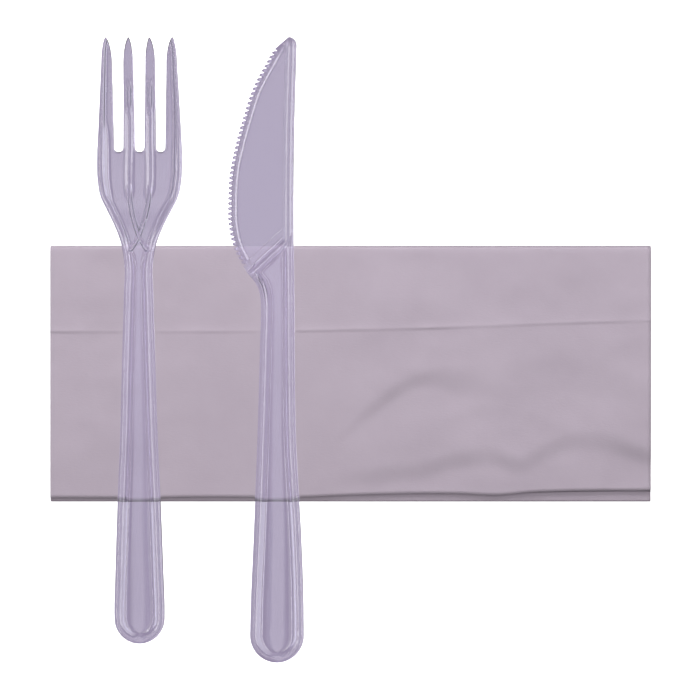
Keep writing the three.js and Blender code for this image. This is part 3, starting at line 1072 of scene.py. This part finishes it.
def make_cove(scene):
    """A white floor that sweeps up into a wall. Only the camera sees it: the plastic looks past it
    to the world's banks, and it lights nothing."""
    bm = bmesh.new()
    flat = COVE_RADIUS - COVE_SWEEP
    profile = [(0.0, 0.0), (flat, 0.0)]
    for i in range(1, COVE_STEPS + 1):
        turn = math.pi / 2 * i / COVE_STEPS
        profile.append((flat + COVE_SWEEP * math.sin(turn), COVE_SWEEP - COVE_SWEEP * math.cos(turn)))
    profile.append((COVE_RADIUS, COVE_HEIGHT))
    line = [bm.verts.new((x, 0.0, z)) for x, z in profile]
    edges = [bm.edges.new(pair) for pair in zip(line, line[1:])]
    bmesh.ops.spin(bm, geom=line + edges, cent=(0, 0, 0), axis=(0, 0, 1), angle=2 * math.pi, steps=64,
                   use_merge=True)
    bmesh.ops.remove_doubles(bm, verts=bm.verts, dist=1e-6)
    bmesh.ops.recalc_face_normals(bm, faces=bm.faces)
    mesh = bpy.data.meshes.new("cove")
    bm.to_mesh(mesh)
    bm.free()
    mesh.shade_smooth()
    # Matt painted board, evenly lit: plain white from everywhere, without a shine or a shadow.
    material, tree = new_material("matt_white_board")
    white = add_node(tree, "ShaderNodeBsdfPrincipled", Base_Color=(1, 1, 1, 1), Roughness=0.9,
                     Emission_Color=(1, 1, 1, 1), Emission_Strength=1.0)
    add_node(tree, "ShaderNodeOutputMaterial", links={"Surface": white.outputs["BSDF"]})
    mesh.materials.append(material)
    cove = bpy.data.objects.new("cove", mesh)
    cove.location.z = -COVE_GAP
    cove.visible_transmission = False
    cove.visible_glossy = False
    cove.visible_diffuse = False
    cove.visible_shadow = False
    scene.collection.objects.link(cove)


SKY_PEAK = 5.5                      # light of the brightest bank
SKY_ACROSS = (                      # direction from left to right, and share of the peak
    (-1.0, 0.45), (-0.72, 0.45), (-0.6, 0.04), (-0.45, 0.06), (-0.42, 1.0), (-0.35, 1.0),
    (-0.32, 0.26), (-0.18, 0.26), (-0.14, 0.04), (-0.105, 0.04), (-0.07, 0.31), (0.035, 0.31),
    (0.07, 0.04), (0.32, 0.04), (0.35, 1.0), (0.41, 1.0), (0.44, 0.06), (0.6, 0.04), (0.72, 0.45),
    (1.0, 0.45),
)
SKY_ALONG = (0.9, 0.75, 1.25)       # distance of the two ends, and the near and far one's share
SKY_ENDS = (0.62, 0.76, 0.2)        # towards them it falls between these, to this share
SKY_RIM = (0.1, 0.7, 0.2)           # heights between which all light rises, from this share
HORIZON = 0.02                      # half the height over which the table turns into the sky
BELOW_ACROSS = (                    # direction below from left to right, and its colour
    (-1.0, (0.05, 0.045, 0.055)), (-0.76, (0.06, 0.055, 0.07)), (-0.68, (0.62, 0.58, 0.61)),
    (-0.5, (0.70, 0.66, 0.69)), (-0.3, (0.68, 0.64, 0.67)), (-0.12, (0.44, 0.385, 0.455)),
    (0.42, (0.44, 0.385, 0.455)), (0.5, (0.70, 0.66, 0.69)), (0.66, (0.70, 0.66, 0.69)),
    (0.74, (0.06, 0.055, 0.07)), (1.0, (0.05, 0.045, 0.055)),
)


def set_stops(ramp_node, stops):
    """Gives a colour ramp its (place, colour) stops."""
    elements = ramp_node.color_ramp.elements
    elements[0].position, elements[-1].position = stops[0][0], stops[-1][0]
    elements[0].color, elements[-1].color = (*stops[0][1], 1), (*stops[-1][1], 1)
    for place, colour in stops[1:-1]:
        elements.new(place).color = (*colour, 1)


def make_world(scene):
    """What the plastic bends and reflects: a bright bank of soft light along each side and weaker
    ones between and outside them, over a mauve table."""
    world = bpy.data.worlds.new("studio")
    world.use_nodes = True
    tree = world.node_tree
    tree.nodes.clear()
    place = add_node(tree, "ShaderNodeTexCoord")
    axes = add_node(tree, "ShaderNodeSeparateXYZ", links={"Vector": place.outputs["Generated"]})
    across = add_node(tree, "ShaderNodeMapRange", links={"Value": axes.outputs["X"]},
                      From_Min=-1.0, From_Max=1.0)
    banks = add_node(tree, "ShaderNodeValToRGB", links={"Fac": across.outputs["Result"]})
    set_stops(banks, [((at + 1) / 2, (share, share, share)) for at, share in SKY_ACROSS])
    reach, near_share, far_share = SKY_ALONG
    far = add_node(tree, "ShaderNodeMapRange", links={"Value": axes.outputs["Y"]},
                   From_Min=-reach, From_Max=reach, To_Min=near_share * SKY_PEAK,
                   To_Max=far_share * SKY_PEAK)
    away = add_node(tree, "ShaderNodeMath", {"operation": "ABSOLUTE"}, {"Value": axes.outputs["Y"]})
    ends = add_node(tree, "ShaderNodeMapRange", {"interpolation_type": "SMOOTHSTEP"},
                    {"Value": away.outputs["Value"]}, From_Min=SKY_ENDS[0], From_Max=SKY_ENDS[1],
                    To_Min=1.0, To_Max=SKY_ENDS[2])
    power = add_node(tree, "ShaderNodeMath", {"operation": "MULTIPLY"},
                     {0: far.outputs["Result"], 1: ends.outputs["Result"]})
    sky = add_node(tree, "ShaderNodeVectorMath", {"operation": "SCALE"},
                   {"Vector": banks.outputs["Color"], "Scale": power.outputs["Value"]})
    table = add_node(tree, "ShaderNodeValToRGB", links={"Fac": across.outputs["Result"]})
    set_stops(table, [((at + 1) / 2, colour) for at, colour in BELOW_ACROSS])
    half = add_node(tree, "ShaderNodeMapRange", links={"Value": axes.outputs["Z"]},
                    From_Min=-HORIZON, From_Max=HORIZON)
    both = add_node(tree, "ShaderNodeMix", {"data_type": "VECTOR"},
                    {"Factor": half.outputs["Result"], "A": table.outputs["Color"],
                     "B": sky.outputs["Vector"]})
    level = add_node(tree, "ShaderNodeMath", {"operation": "ABSOLUTE"}, {"Value": axes.outputs["Z"]})
    rim = add_node(tree, "ShaderNodeMapRange", {"interpolation_type": "SMOOTHSTEP"},
                   {"Value": level.outputs["Value"]}, From_Min=SKY_RIM[0], From_Max=SKY_RIM[1],
                   To_Min=SKY_RIM[2])
    light = add_node(tree, "ShaderNodeBackground",
                     links={"Color": both.outputs["Result"], "Strength": rim.outputs["Result"]})
    add_node(tree, "ShaderNodeOutputWorld", links={"Surface": light.outputs["Background"]})
    scene.world = world
    world.cycles_visibility.diffuse = False


LIGHTS = (                          # name, place, width, length, watts
    ("far_softbox", (-0.05, 0.45, 0.37), 1.2, 0.35, 4.4),
    ("overhead_fill", (0.0, 0.0, 1.2), 1.2, 1.2, 11.2),
)


def make_lights(scene):
    """A softbox beyond the top edge and a fill overhead. They light the tissue, which the world
    doesn't, and the plastic neither bends nor reflects them."""
    for name, place, width, length, watts in LIGHTS:
        data = bpy.data.lights.new(name, "AREA")
        data.shape = "RECTANGLE"
        data.size = width
        data.size_y = length
        data.energy = watts
        light = bpy.data.objects.new(name, data)
        light.location = place
        light.rotation_euler = (-light.location).to_track_quat("-Z", "Y").to_euler()
        light.visible_glossy = light.visible_transmission = light.visible_camera = False
        scene.collection.objects.link(light)


class CUTLERY_PT_pack(bpy.types.Panel):
    """Lists the pack's pieces"""

    bl_idname = "CUTLERY_PT_pack"
    bl_label = "Cutlery Pack"
    bl_space_type = "VIEW_3D"
    bl_region_type = "UI"
    bl_category = "Cutlery"

    def draw(self, context):
        for operator in OPERATORS:
            self.layout.operator(operator.bl_idname)


OPERATORS = (CUTLERY_OT_fork, CUTLERY_OT_knife, CUTLERY_OT_napkin, CUTLERY_OT_stage)
CLASSES = (
    CutleryPlastic, CutleryTissue, CutleryFork, CutleryKnife, CutleryNapkin, CutleryPack, *OPERATORS,
    CUTLERY_PT_pack,
)


def register():
    for each in CLASSES:
        bpy.utils.register_class(each)
    bpy.types.Scene.cutlery_pack = PointerProperty(type=CutleryPack)


def unregister():
    del bpy.types.Scene.cutlery_pack
    for each in reversed(CLASSES):
        bpy.utils.unregister_class(each)


def main():
    register()
    bpy.ops.cutlery.fork()
    bpy.ops.cutlery.knife()
    bpy.ops.cutlery.napkin()
    bpy.ops.cutlery.stage()


if __name__ == "__main__":
    main()
